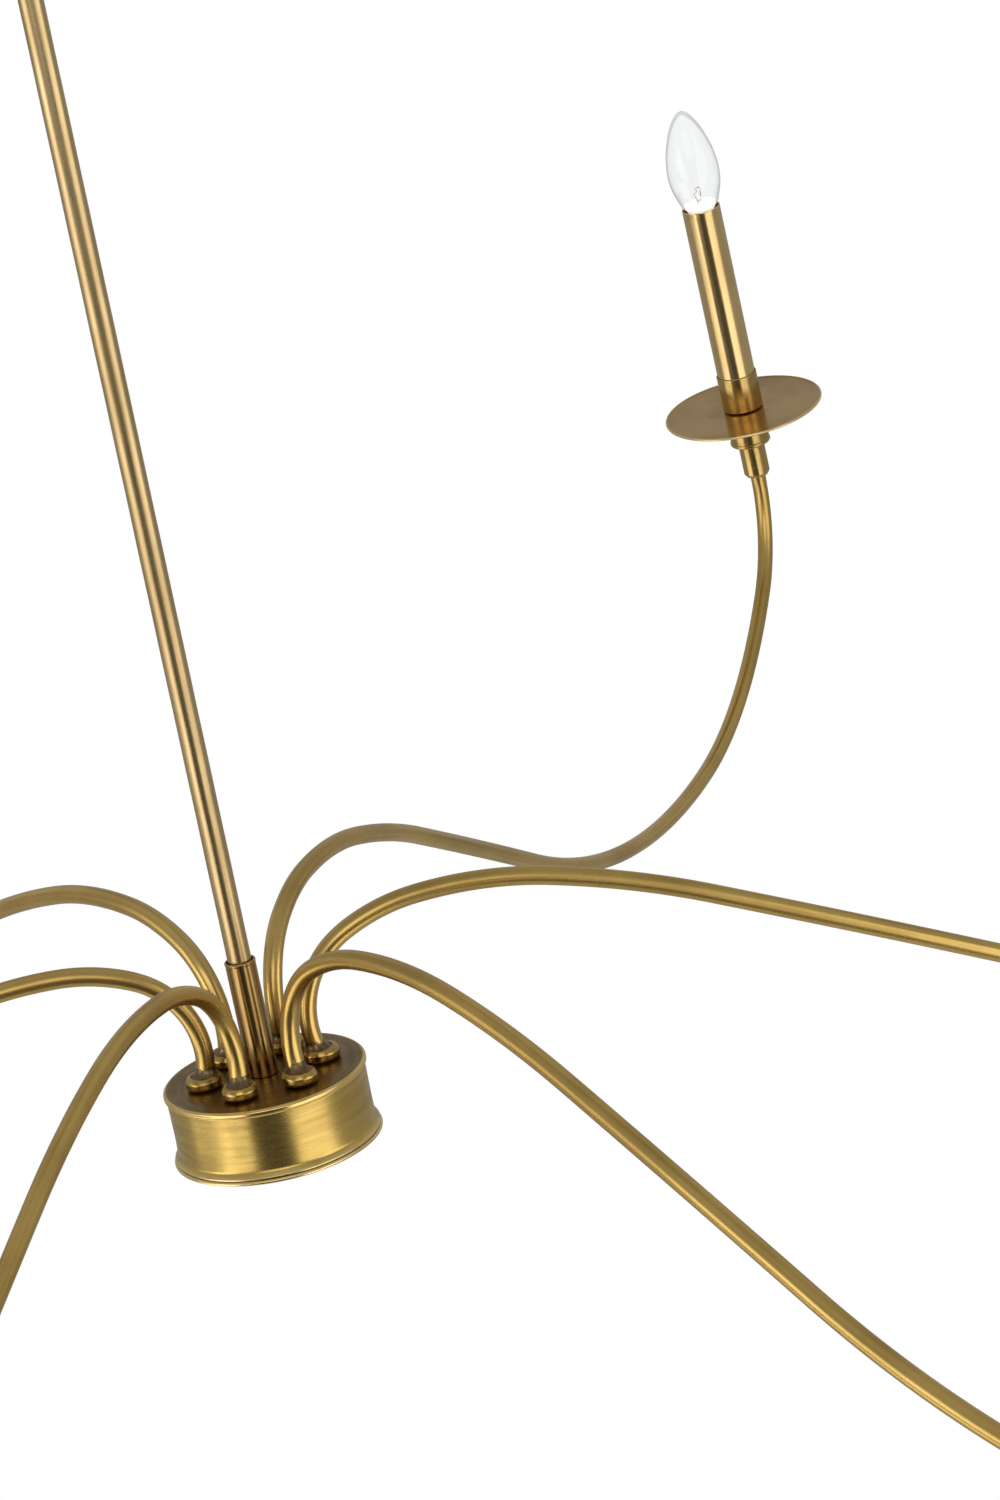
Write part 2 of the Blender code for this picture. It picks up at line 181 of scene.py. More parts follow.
def ease(corners, closed=True):
    """Swaps each (r, z, easing) corner for an arc, and returns points (mm) and their wear.

    It is tangent to both sides and starts easing * tan(turn / 2) before the corner. Its points
    run through a quadratic blend of the two tangent points and the corner: a parabola, which
    at a square corner lies 0.06 * easing outside the round arc.
    """
    spots = np.array([c[:2] for c in corners], float)
    radii = np.array([c[2] for c in corners], float)
    before = np.roll(spots, 1, axis=0) - spots
    after = np.roll(spots, -1, axis=0) - spots
    size_before = np.linalg.norm(before, axis=1)
    size_after = np.linalg.norm(after, axis=1)
    way_in = before / size_before[:, None]
    way_out = after / size_after[:, None]
    opening = np.arccos(np.clip((way_in * way_out).sum(axis=1), -1, 1))
    reach = np.minimum(radii / np.tan(np.maximum(opening, 1e-3) / 2),
                       0.49 * np.minimum(size_before, size_after))
    turning = way_out[:, 0] * way_in[:, 1] - way_out[:, 1] * way_in[:, 0]
    area = (spots[:, 0] * np.roll(spots[:, 1], -1) - np.roll(spots[:, 0], -1) * spots[:, 1]).sum()
    bulge = turning * math.copysign(1.0, area) > LEAST_BULGE
    if not closed:
        reach[[0, -1]] = 0.0
        bulge[[0, -1]] = False
    along = np.linspace(0, 1, ARC_POINTS)
    t = along[None, :, None]
    start = (spots + way_in * reach[:, None])[:, None, :]
    end = (spots + way_out * reach[:, None])[:, None, :]
    arcs = (1 - t) ** 2 * start + 2 * t * (1 - t) * spots[:, None, :] + t ** 2 * end
    crown = np.sin(np.pi * along)[None, :]
    wear = crown * bulge[:, None] * np.clip(reach / FULLY_WORN_REACH, 0, 1)[:, None]
    eased = (reach > 1e-6)[:, None] | (np.arange(ARC_POINTS) == 0)[None, :]
    return arcs[eased], wear[eased]


def spread(points, wear, longest):
    """Adds evenly spaced points so that no stretch of the outline is longer than `longest`."""
    steps = np.linalg.norm(np.diff(points, axis=0, append=points[:1]), axis=1)
    counts = np.maximum(np.ceil(steps / longest).astype(int), 1)
    which = np.repeat(np.arange(len(points)), counts)
    within = np.arange(len(which)) - np.repeat(np.cumsum(counts) - counts, counts)
    part = (within / counts[which])[:, None]
    nxt = (which + 1) % len(points)
    return (points[which] * (1 - part) + points[nxt] * part,
            wear[which] * (1 - part[:, 0]) + wear[nxt] * part[:, 0])


# %% [markdown]
# Spinning the outline is the whole lathe: x = r cos a, y = r sin a, z = h. The result is
# then stood on its own axis, which comes from the skeleton. Real pieces are never perfectly
# round, so a turned piece may be given a run-out: a tiny, slow swelling round the axis.

# %% Turn an outline about an axis
RUN_OUT_TWIST = 0.11            # radians that the swelling turns in each mm of height


def axis_frame(origin, up, outward=(1.0, 0.0, 0.0)):
    """4x4 place with +Z along up and +X as near outward as it can be."""
    up = Vector(up).normalized()
    side = up.cross(Vector(outward)).normalized()
    front = side.cross(up)
    turn = Matrix((front, side, up)).transposed().to_4x4()
    return Matrix.Translation(Vector(origin)) @ turn


def moved(points, place):
    """A whole grid of points taken through a 4x4 place."""
    m = np.array(place)
    return points @ m[:3, :3].T + m[:3, 3]


def way_round(around):
    return np.linspace(0, 2 * np.pi, around, endpoint=False)


def way_along(outline):
    """The length of outline up to each of its points, as a column in metres."""
    step = np.linalg.norm(np.diff(outline, axis=0, prepend=outline[:1]), axis=1)
    return np.cumsum(step)[:, None] * MM


def skin_map(angle, along):
    """Each point's place on the skin: cos a, sin a, and the way along in metres."""
    return np.stack(np.broadcast_arrays(np.cos(angle)[None], np.sin(angle)[None], along), axis=2)


def spin(name, place, angle, radius, height, along, wear, close_rows=True, middle=0.0):
    """Rings of points (middle + r cos a, r sin a, h), sizes in mm, laid as a skin."""
    across = radius * np.cos(angle)
    grid = np.stack([middle + across, radius * np.sin(angle),
                     np.broadcast_to(height, across.shape)], axis=2) * MM
    return lay_skin(name, moved(grid, place), skin_map(angle, along), wear, close_rows)


def turn(name, corners, place, around=64, longest=6.0, run_out=0.0, closed=True, polish=None):
    """Spins an outline of eased corners once round the axis.

    polish=(a, b) marks the rim as rubbed bright: wear climbs from 0 at radius a to 1 at b.
    """
    outline, wear = ease(corners, closed)
    if closed:
        outline, wear = spread(outline, wear, longest)
    if polish:
        climb = (outline[:, 0] - polish[0]) / (polish[1] - polish[0])
        wear = np.maximum(wear, np.clip(climb, 0, 1))
    angle, height = way_round(around), outline[:, 1:]
    radius = outline[:, :1] * (1 + run_out * np.sin(2 * angle + RUN_OUT_TWIST * height))
    worn = np.broadcast_to(wear[:, None], radius.shape)
    return spin(name, place, angle, radius, height, way_along(outline), worn, closed)


print("lathe ready:", ARC_POINTS, "points in each eased corner")


# %% [markdown]
# ## Bent and drawn tube
#
# Each arm is one length of thin tube pulled round formers. The bench sheet for such a tube is
# a list of bends, each with its length and its turn, and the line down the middle follows by
# adding up the heading: x is the running sum of cos(heading), z of sin(heading). Pulled tube
# flattens a little where it bends, so the section is an ellipse whose flatness follows the
# curvature.

# %% The bend sheet and the line down the middle of an arm
BENDS = ((71.6, -79.4), (41.0, -23.6), (73.0, -19.1), (89.0, -9.8),
         (177.0, -0.9), (326.0, 31.6), (189.0, 34.4), (85.0, 50.2), (6.0, 0.0))
FOOT_OUT, FOOT_UP, FOOT_HEADING = -1.1, 5.0, 106.6
SPIGOT = BENDS[-1][0]
TIGHTER_LAST_BEND = {"b": 7.7}      # this arm was pulled a little past upright
FLATTENING, WIDENING = 1.6, 0.6     # share of the radius lost per 1/mm of bend; part regained
BEND_RUB = 40.0                     # wear per 1/mm of bend on the outside of a bend


def arm_line(letter, step=2.5):
    """Points (x, z), headings and curvature (1/mm) every `step` mm along the bend sheet."""
    lengths, turns = np.array(BENDS).T
    turns[-2] += TIGHTER_LAST_BEND.get(letter, 0.0)
    stops = np.concatenate([[0], np.cumsum(lengths)])
    headings = np.radians(FOOT_HEADING + np.concatenate([[0], np.cumsum(turns)]))
    along = np.linspace(0, stops[-1], int(stops[-1] / step) + 1)
    heading = np.interp(along, stops, headings)
    middle = (heading[1:] + heading[:-1]) / 2
    gap = along[1]
    x = FOOT_OUT + np.concatenate([[0], np.cumsum(np.cos(middle) * gap)])
    z = FOOT_UP + np.concatenate([[0], np.cumsum(np.sin(middle) * gap)])
    return along, x, z, heading, np.gradient(heading, along)


def sweep(name, place, line, outer, inner, around):
    """Tube: ring i stands square to the line at point i; outer skin out, inner skin back.

    across = (-sin heading, 0, cos heading) and beside = (0, 1, 0); a ring's point is
    centre + r (n cos a across + b sin a beside), with n and b the flattening of the bend.
    """
    along, x, z, heading, bend = line
    angle = way_round(around)
    centre = np.stack([x, 0 * x, z], axis=1)[:, None, :]
    across = np.stack([-np.sin(heading), 0 * x, np.cos(heading)], axis=1)[:, None, :]
    beside = np.array([0.0, 1.0, 0.0])
    flat = np.abs(bend)[:, None, None] * FLATTENING
    ring = (across * np.cos(angle)[None, :, None] * (1 - flat)
            + beside * np.sin(angle)[None, :, None] * (1 + WIDENING * flat))
    skins = [centre + ring * size[:, None, None] for size in (outer, inner)]
    grid = np.concatenate([skins[0], skins[1][::-1]]) * MM
    way = np.concatenate([along, along[::-1]])[:, None] * MM
    outside = np.clip(-bend[:, None] * np.cos(angle)[None] * BEND_RUB, 0, 1)
    worn = np.concatenate([outside, 0 * outside])
    return lay_skin(name, moved(grid, place), skin_map(angle, way), worn, close_rows=True)


line = arm_line("a")
print("arm:", round(line[0][-1]), "mm of tube, reaching", round(line[1][-1]), "mm out")


# %% [markdown]
# ## Aged brass
#
# Raw brass is polished, darkened in a bath, and rubbed back. Three things stay visible: the
# tool's grain, fine lines that run the way the piece was worked; a cloudy tarnish that sits
# where the cloth didn't reach; and bare metal on the edges where hands and cloth did. One
# node group makes all three from the skin coordinates, so that a stem, a plate and a bead
# share the finish and differ only in numbers.

# %% The finish as a node group
def add_node(tree, kind, **settings):
    made = tree.nodes.new(kind)
    for name, value in settings.items():
        setattr(made, name, value)
    return made


def feed(tree, target, source):
    """Links a socket into an input, or sets the input's own value."""
    if isinstance(source, bpy.types.NodeSocket):
        tree.links.new(source, target)
    else:
        target.default_value = source


def compute(tree, operation, *inputs):
    made = add_node(tree, "ShaderNodeMath", operation=operation)
    for socket, value in zip(made.inputs, inputs):
        feed(tree, socket, value)
    return made.outputs[0]


def noise(tree, vector, scale, detail, roughness=0.5):
    made = add_node(tree, "ShaderNodeTexNoise")
    feed(tree, made.inputs["Vector"], vector)
    for name, value in (("Scale", scale), ("Detail", detail), ("Roughness", roughness)):
        feed(tree, made.inputs[name], value)
    return made.outputs["Fac"]


def remap(tree, value, low, high, to_low=0.0, to_high=1.0):
    made = add_node(tree, "ShaderNodeMapRange", interpolation_type="SMOOTHSTEP")
    for socket, given in zip(made.inputs, (value, low, high, to_low, to_high)):
        feed(tree, socket, given)
    return made.outputs["Result"]


def blend_colour(tree, factor, first, second):
    made = add_node(tree, "ShaderNodeMix", data_type="RGBA")
    feed(tree, made.inputs["Factor"], factor)
    colours = [socket for socket in made.inputs if socket.type == "RGBA"]
    feed(tree, colours[0], first)
    feed(tree, colours[1], second)
    return next(socket for socket in made.outputs if socket.type == "RGBA")


def new_group(name, inputs, outputs):
    """An empty node group. Its sockets' names are given by kind: Vector, Float or Color."""
    group = bpy.data.node_groups.new(name, "ShaderNodeTree")
    for in_out, sockets in (("INPUT", inputs), ("OUTPUT", outputs)):
        for kind, labels in sockets.items():
            for label in labels:
                group.interface.new_socket(label, in_out=in_out, socket_type="NodeSocket" + kind)
    given = group.nodes.new("NodeGroupInput").outputs
    return group, given, group.nodes.new("NodeGroupOutput").inputs


def stretch(tree, skin, round_scale, along_scale):
    """The skin coordinate times (round, round, along): how fine the grain is each way."""
    scale = add_node(tree, "ShaderNodeCombineXYZ")
    for socket, value in zip(scale.inputs, (round_scale, round_scale, along_scale)):
        feed(tree, socket, value)
    made = add_node(tree, "ShaderNodeVectorMath", operation="MULTIPLY")
    feed(tree, made.inputs[0], skin)
    feed(tree, made.inputs[1], scale.outputs[0])
    return made.outputs[0]


aged, given, result = new_group("aged brass", {
    "Vector": ("Skin", "Place"), "Color": ("Metal", "Dark", "Bare"),
    "Float": ("Wear", "Grain round", "Grain along", "Cloud size", "Tarnish", "Rub", "Smooth",
              "Dull"),
}, {"Color": ("Colour",), "Float": ("Roughness", "Height")})
grain_way = stretch(aged, given["Skin"], given["Grain round"], given["Grain along"])
coarse = noise(aged, grain_way, 1.0, 2.0, 0.5)
fine = noise(aged, grain_way, 4.3, 1.0, 0.6)
cloud = noise(aged, given["Place"], given["Cloud size"], 5.0, 0.62)
fleck = noise(aged, given["Place"], 260.0, 4.0, 0.6)
streaky = compute(aged, "MULTIPLY_ADD", coarse, 0.6, compute(aged, "MULTIPLY", cloud, 0.55))
mask = compute(aged, "MULTIPLY", remap(aged, streaky, 0.44, 0.76), given["Tarnish"])
specks = compute(aged, "MULTIPLY", remap(aged, fleck, 0.68, 0.80), given["Tarnish"])
mask = compute(aged, "MAXIMUM", mask, compute(aged, "MULTIPLY", specks, 0.6))
rubbed = compute(aged, "MULTIPLY", given["Wear"], remap(aged, fine, 0.25, 0.60, 0.75, 1.0))
rubbed = compute(aged, "MULTIPLY", rubbed, given["Rub"])
tinted = blend_colour(aged, mask, given["Metal"], given["Dark"])
feed(aged, result["Colour"], blend_colour(aged, rubbed, tinted, given["Bare"]))
duller_by = compute(aged, "SUBTRACT", given["Dull"], given["Smooth"])
dull = compute(aged, "MULTIPLY_ADD", mask, duller_by, given["Smooth"])
grain_dull = compute(aged, "MULTIPLY_ADD", fine, 0.10, compute(aged, "SUBTRACT", dull, 0.05))
feed(aged, result["Roughness"], compute(aged, "MULTIPLY_ADD", rubbed, -0.07, grain_dull))
feed(aged, result["Height"], compute(aged, "MULTIPLY_ADD", fine, 0.25, coarse))
print("finish group:", len(aged.nodes), "nodes")


# %% [markdown]
# The shader itself stays in each material: a Principled BSDF, fully metallic. The group
# feeds its colour and roughness, and its height goes through a Bump node, so that the light
# catches each fine line. The bump's distance, the last number, is in metres: tenths of a
# micron on drawn or wiped brass, microns on cast beads and solder.

# %% Materials of brass from the one group
def new_material(name, values):
    """A material, its tree, and its Principled BSDF with the given input values."""
    made = bpy.data.materials.new(name)
    made.use_nodes = True
    shader = made.node_tree.nodes["Principled BSDF"]
    for label, value in values.items():
        shader.inputs[label].default_value = value
    return made, made.node_tree, shader


def add_bump(tree, shader, height, distance):
    bump = add_node(tree, "ShaderNodeBump")
    for label, value in (("Strength", 1.0), ("Distance", distance), ("Height", height)):
        feed(tree, bump.inputs[label], value)
    feed(tree, shader.inputs["Normal"], bump.outputs["Normal"])


def brass(name, metal, dark, bare, tarnish, rub, grain, cloud_size, smooth, dull, depth):
    made, tree, shader = new_material(name, {"Metallic": 1.0})
    group = add_node(tree, "ShaderNodeGroup", node_tree=aged)
    skin = add_node(tree, "ShaderNodeAttribute", attribute_name="skin")
    wear = add_node(tree, "ShaderNodeAttribute", attribute_name="wear")
    place = add_node(tree, "ShaderNodeTexCoord")
    values = {
        "Skin": skin.outputs["Vector"], "Place": place.outputs["Object"],
        "Wear": wear.outputs["Fac"], "Grain round": grain[0], "Grain along": grain[1],
        "Cloud size": cloud_size, "Tarnish": tarnish, "Rub": rub, "Metal": (*metal, 1.0),
        "Dark": (*dark, 1.0), "Bare": (*bare, 1.0), "Smooth": smooth, "Dull": dull,
    }
    for label, value in values.items():
        feed(tree, group.inputs[label], value)
    feed(tree, shader.inputs["Base Color"], group.outputs["Colour"])
    feed(tree, shader.inputs["Roughness"], group.outputs["Roughness"])
    add_bump(tree, shader, group.outputs["Height"], depth)
    return made


GOLD, BROWN = (0.69, 0.475, 0.135), (0.27, 0.17, 0.048)
SHADE, BARE = (0.30, 0.175, 0.055), (0.95, 0.72, 0.32)
stem_brass = brass("stem brass", (0.68, 0.50, 0.25), (0.40, 0.27, 0.11), BARE, 0.60, 0.5,
                   (2.2, 4.0), 12.0, 0.25, 0.38, 3e-7)
collar_brass = brass("collar brass", (0.46, 0.30, 0.115), (0.22, 0.125, 0.04), BARE, 0.65, 0.6,
                     (2.2, 6.0), 14.0, 0.17, 0.30, 3e-7)
arm_brass = brass("arm brass", (0.70, 0.47, 0.14), (0.33, 0.20, 0.055), BARE, 0.65, 0.30,
                  (1.8, 5.0), 14.0, 0.26, 0.38, 6e-8)
hub_brass = brass("hub brass", GOLD, SHADE, BARE, 0.42, 0.9, (1.2, 300.0), 26.0,
                  0.25, 0.36, 2e-7)
plate_brass = brass("plate brass", BROWN, (0.15, 0.085, 0.022), (0.90, 0.62, 0.22), 0.75, 1.0,
                    (1.2, 300.0), 30.0, 0.26, 0.40, 4e-7)
pan_brass = brass("pan brass", (0.58, 0.37, 0.135), (0.38, 0.235, 0.085), BARE, 0.75, 0.85,
                  (0.7, 40.0), 16.0, 0.19, 0.30, 1e-7)
cup_brass = brass("cup brass", (0.60, 0.405, 0.14), (0.34, 0.21, 0.065), BARE, 0.50, 0.7,
                  (1.1, 60.0), 24.0, 0.19, 0.29, 1e-7)
sleeve_brass = brass("sleeve brass", (0.80, 0.575, 0.265), (0.52, 0.345, 0.13), BARE, 0.50, 0.8,
                     (1.6, 5.0), 16.0, 0.17, 0.26, 2e-7)
bead_brass = brass("bead brass", (0.50, 0.315, 0.095), (0.12, 0.07, 0.022), GOLD, 0.85, 0.7,
                   (1.6, 120.0), 90.0, 0.20, 0.36, 2e-6)
solder_metal = brass("solder", (0.24, 0.165, 0.085), (0.08, 0.055, 0.03), (0.4, 0.3, 0.16), 0.8,
                     0.5, (3.0, 120.0), 120.0, 0.28, 0.44, 4e-6)


# %% [markdown]
# Steel, phenolic, nickel and wire break up their colour with one speckle. The glass is a plain
# dielectric, whose outline comes from real refraction in a thin shell. The opal has a painted
# glow, an emission standing in for light that a lamp's mouth gathers and this thin shell lets by.

# %% The other materials
FINE_BUMP = 1e-5


def plain_material(name, colour, roughness, metallic, speckle, cloud_size):
    """Base colour and roughness broken up by one noise over the object's own coordinates."""
    made, tree, shader = new_material(name, {"Metallic": metallic})
    place = add_node(tree, "ShaderNodeTexCoord").outputs["Object"]
    blotch = noise(tree, place, cloud_size, 4.0, 0.6)
    lighter = tuple(min(1.0, c * (1 + speckle)) for c in colour)
    darker = tuple(c * (1 - speckle) for c in colour)
    tint = blend_colour(tree, remap(tree, blotch, 0.35, 0.65), (*darker, 1.0), (*lighter, 1.0))
    feed(tree, shader.inputs["Base Color"], tint)
    feed(tree, shader.inputs["Roughness"],
         remap(tree, blotch, 0.3, 0.7, roughness * 0.8, roughness * 1.2))
    add_bump(tree, shader, noise(tree, place, cloud_size * 9, 2.0), FINE_BUMP)
    return made


steel = plain_material("zinc plated steel", (0.58, 0.58, 0.57), 0.38, 1.0, 0.18, 90.0)
phenolic = plain_material("black phenolic", (0.022, 0.021, 0.020), 0.45, 0.0, 0.3, 200.0)
nickel = plain_material("nickel shell", (0.66, 0.62, 0.55), 0.25, 1.0, 0.12, 150.0)
wire_metal = plain_material("lead wire", (0.50, 0.42, 0.30), 0.35, 1.0, 0.2, 400.0)
filament_metal = plain_material("yellow filament", (0.86, 0.62, 0.22), 0.5, 0.0, 0.15, 900.0)
painted_glow_opal = plain_material("lit opal", (0.88, 0.86, 0.80), 0.45, 0.0, 0.05, 300.0)
# painted glow: the opal's emission stands in for light gathered in the lamp's mouth
painted_glow_opal_inputs = painted_glow_opal.node_tree.nodes["Principled BSDF"].inputs
painted_glow_opal_inputs["Emission Color"].default_value = (1.0, 0.97, 0.92, 1.0)
painted_glow_opal_inputs["Emission Strength"].default_value = 0.85
glass = new_material("clear glass", {"Base Color": (0.97, 0.98, 0.98, 1.0), "Roughness": 0.0,
                                     "IOR": 1.46, "Transmission Weight": 1.0})[0]
print("materials:", len(bpy.data.materials))


# %% [markdown]
# ## Stem and collar
#
# The stem is a plain drawn tube, polished along its length, with a slight run-out that only
# shows in how its long reflection wanders. At its foot a short wider sleeve, the collar, hides
# the threaded joint; its top lip is rolled outwards over a wire, so it is a fine bright ring,
# and a dark gap shows between lip and stem.

# %% Stem, collar
AXIS = axis_frame((0, 0, 0), (0, 0, 1))
STEM_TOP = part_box("stem")[1].z / MM
COLLAR_LOW, COLLAR_HIGH = (corner.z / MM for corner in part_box("stem_collar"))
STEM_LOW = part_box("stem")[0].z / MM
stem_outline = [(5.3, STEM_LOW, 0.2), (6.3, STEM_LOW, 0.3), (6.3, STEM_TOP, 0.3),
                (5.3, STEM_TOP, 0.2)]
place_piece(turn("stem_tube", stem_outline, AXIS, around=72, longest=7.0, run_out=0.004),
            stem_brass, ("stem",))
collar_outline = [(7.05, COLLAR_LOW, 0.1), (8.0, COLLAR_LOW, 0.2),
                  (8.0, COLLAR_HIGH - 1.9, 0.4), (8.2, COLLAR_HIGH - 1.4, 0.4),
                  (8.25, COLLAR_HIGH - 0.6, 0.4), (7.9, COLLAR_HIGH, 0.4),
                  (7.3, COLLAR_HIGH - 0.1, 0.3), (7.05, COLLAR_HIGH - 0.9, 0.2)]
place_piece(turn("collar_sleeve", collar_outline, AXIS, around=72, longest=4.0, run_out=0.003),
            collar_brass, ("stem_collar",))
print("stem:", round(STEM_TOP - STEM_LOW), "mm; collar:", round(COLLAR_HIGH - COLLAR_LOW, 1), "mm")


# %% [markdown]
# ## The hub
#
# The canister that gathers the arms is three spun pieces. The top plate carries the beads and
# turns over at its edge into a rolled rim. The wall is slightly waisted and flares at the foot
# into a double lip. The cover closes it from below. The plate kept its dark bath finish and
# only its rim is rubbed; the wall was wiped, and shows the fine rings of the cloth.

# %% Plate, wall and cover of the hub
HUB_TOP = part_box("hub_top_plate")[1].z / MM


def lowered(corners, level):
    """The same outline with every height counted from `level`."""
    return [(r, z + level, easing) for r, z, easing in corners]


plate_outline = [(5.5, 0.0, 0.1), (52.0, 0.0, 0.4), (52.9, 0.3, 0.5), (54.0, -0.8, 1.0),
                 (54.0, -2.4, 1.0), (53.4, -3.3, 0.7), (52.6, -3.3, 0.3), (52.4, -2.0, 0.2),
                 (5.5, -2.0, 0.1)]
wall_outline = [(52.3, -2.3, 0.1), (52.85, -3.7, 0.5), (52.7, -12, 30), (52.6, -24, 30),
                (52.8, -33.8, 3.0), (54.2, -35.7, 0.9), (55.0, -36.7, 0.5), (54.8, -37.5, 0.4),
                (53.0, -37.5, 0.3), (51.5, -32, 8), (51.3, -24, 20), (51.3, -12, 20),
                (51.2, -2.3, 0.1)]
cover_outline = [(0.0, -38.7, 0.0), (52.6, -38.7, 0.3), (53.2, -37.9, 0.3), (54.9, -37.85, 0.4),
                 (55.6, -38.7, 0.7), (55.5, -39.6, 0.6), (54.6, -40.15, 0.5), (52.6, -40.2, 0.6),
                 (51.0, -39.9, 0.8), (0.0, -39.9, 0.0)]
for label, outline, material, node, polish in (
    ("hub_plate", plate_outline, plate_brass, "hub_top_plate", (52.0, 53.0)),
    ("hub_canister", wall_outline, hub_brass, "hub_wall", (53.4, 55.0)),
    ("hub_cover", cover_outline, hub_brass, "hub_bottom_cover", (53.2, 54.6)),
):
    slot_name = "dark_brass" if material is plate_brass else "antique_brass"
    place_piece(turn(label, lowered(outline, HUB_TOP), AXIS, around=160, longest=4.0,
                     closed=label != "hub_cover", polish=polish), material, (node,))
print("hub: 3 pieces under", round(HUB_TOP, 1), "mm")


# %% [markdown]
# ## Arms, beads and solder
#
# Each arm rises out of a cast bead, and hard solder closes the gap. No two were soldered
# quite alike: four arms are turned, raised or leaned by up to four degrees at their bead. The
# skeleton knows where each candle stands, so the arm's frame is checked against it: the end
# of the tube has to meet the candle. The beads were filed by hand, so their rings swell and
# dip unevenly; the solder is a dark, dull fillet that climbs the tube.

# %% Where each arm stands
BEAD_H = 7.0
AS_SOLDERED = {"b": (-0.3, -0.2, -0.7), "c": (0.0, 3.0, 0.0), "e": (-2.0, 1.0, 0.0),
               "f": (0.0, 0.0, 4.0)}    # arm: (turn, rise, lean) in degrees
CANDLES = {}
for joint in frame["joints"]:
    if joint["name"].endswith("_screw"):
        letter = joint["child"][-1]
        CANDLES[letter] = (Vector(joint["pos_m"]), Vector(joint["axis"]).normalized())


def arm_place(letter):
    """The arm's frame: origin at the bead's centre on the plate, +X outwards, +Z up.

    Turned about the stem to its own sixth, then as it was soldered: turn, lean, rise.
    """
    low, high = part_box("bead_" + letter)
    foot = Vector(((low.x + high.x) / 2, (low.y + high.y) / 2, HUB_TOP * MM))
    turned_by, rise, lean = (math.radians(v) for v in AS_SOLDERED.get(letter, (0.0, 0.0, 0.0)))
    sixth = math.tau * ARMS.index(letter) / len(ARMS)
    return (Matrix.Translation(foot) @ Matrix.Rotation(sixth + turned_by, 4, "Z")
            @ Matrix.Rotation(-lean, 4, "X") @ Matrix.Rotation(-rise, 4, "Y"))


PLACES = {letter: arm_place(letter) for letter in ARMS}
for letter in ARMS:
    _, x, z, heading, _ = arm_line(letter)
    last = heading[-1]
    end = Vector((x[-1] - SPIGOT * math.cos(last), 0, z[-1] - SPIGOT * math.sin(last)))
    miss = PLACES[letter] @ (end * MM) - CANDLES[letter][0]
    print("arm", letter, "misses its candle by", round(miss.length / MM, 2), "mm")


# %% [markdown]
# The bead's outline is a fat ring with a flat foot. Its lumps are a few low waves round the
# ring whose sizes and phases differ from bead to bead. The phases come from the bead's own
# number, so every run gives the same six beads.

# %% Beads and their solder
def lump(angle, height, number, depth):
    """1 + depth * (three waves of 2, 3 and 5 turns, each with its own phase)."""
    phases = 1.7 * number + np.array([0.3, 2.1, 4.0])
    waves = (np.sin(2 * angle + phases[0]) + 0.7 * np.sin(3 * angle + phases[1] + height * 0.6)
             + 0.45 * np.sin(5 * angle - phases[2]))
    return 1 + depth * waves


def turn_lumpy(name, corners, place, number, depth, around=72, longest=0.7):
    """A turned skin whose radius is multiplied by lump(angle, height), rubbed on its crown."""
    outline, wear = spread(*ease(corners), longest)
    angle, height = way_round(around), outline[:, 1:]
    radius = outline[:, :1] * lump(angle[None], height, number, depth)
    crown = np.clip((radius - 7.8) / 1.6, 0, 1) * np.clip((height - 1.2) / 1.5, 0, 1)
    top = np.clip((height - BEAD_H + 1.4) / 1.0, 0, 1)
    worn = np.clip(wear[:, None] * 0.4 + crown * 0.6 + top * 0.3, 0, 1)
    return spin(name, place, angle, radius, height, way_along(outline), worn)


bead_outline = [(7.2, 0.05, 0.2), (8.4, 0.05, 0.3), (9.7, 1.5, 1.6), (9.7, 4.6, 2.4),
                (8.4, 7.0, 2.2), (6.6, 7.0, 0.6), (6.2, 5.8, 0.4), (6.6, 3.0, 1.0)]
print("bead:", BEAD_H, "mm tall")


# %% [markdown]
# The solder is one small skin: rings climb from the bead's mouth to the tube, and their size
# falls off quickly at first, which is the hollow of a fillet that wetted both. The rings then
# go back down inside the tube's wall, so the skin is closed. All arms share the same foot.

# %% Make the beads, the solder and the arms
TUBE_OUTER, TUBE_INNER = 5.1, 4.1
TIP_SWELL, TIP_REACH = 0.22, 4.0        # the tube is upset a little where its coupler starts
SOLDER_ROWS, SOLDER_LOW, SOLDER_RISE = 14, 6.1, 5.6
SOLDER_MOUTH, SOLDER_TUBE, SOLDER_BACK = 8.0, 5.16, 4.8      # radii


def solder_fillet(name, place, number, around=48):
    """Ring radius = tube + (mouth - tube) * (1 - t)^2.4, t from 0 at the bead to 1 at the tube."""
    t = np.linspace(0, 1, SOLDER_ROWS)
    height = SOLDER_LOW + SOLDER_RISE * t
    radius = SOLDER_TUBE + (SOLDER_MOUTH - SOLDER_TUBE) * (1 - t) ** 2.4
    lean = np.interp(height, line[2][:12], line[1][:12])
    lean[0] *= 0.3
    height = np.concatenate([height, height[::-1]])[:, None]
    lean = np.concatenate([lean, lean[::-1]])[:, None]
    radius = np.concatenate([radius, np.full(SOLDER_ROWS, SOLDER_BACK)])[:, None]
    angle = way_round(around)
    swell = np.where(radius > 5.0, 1.0, 0.0) * 0.25
    size = radius + swell * (lump(angle[None], height, number + 3, 0.6) - 1)
    size = np.maximum(size, SOLDER_BACK)
    return spin(name, place, angle, size, height, height * MM, np.zeros(size.shape), middle=lean)


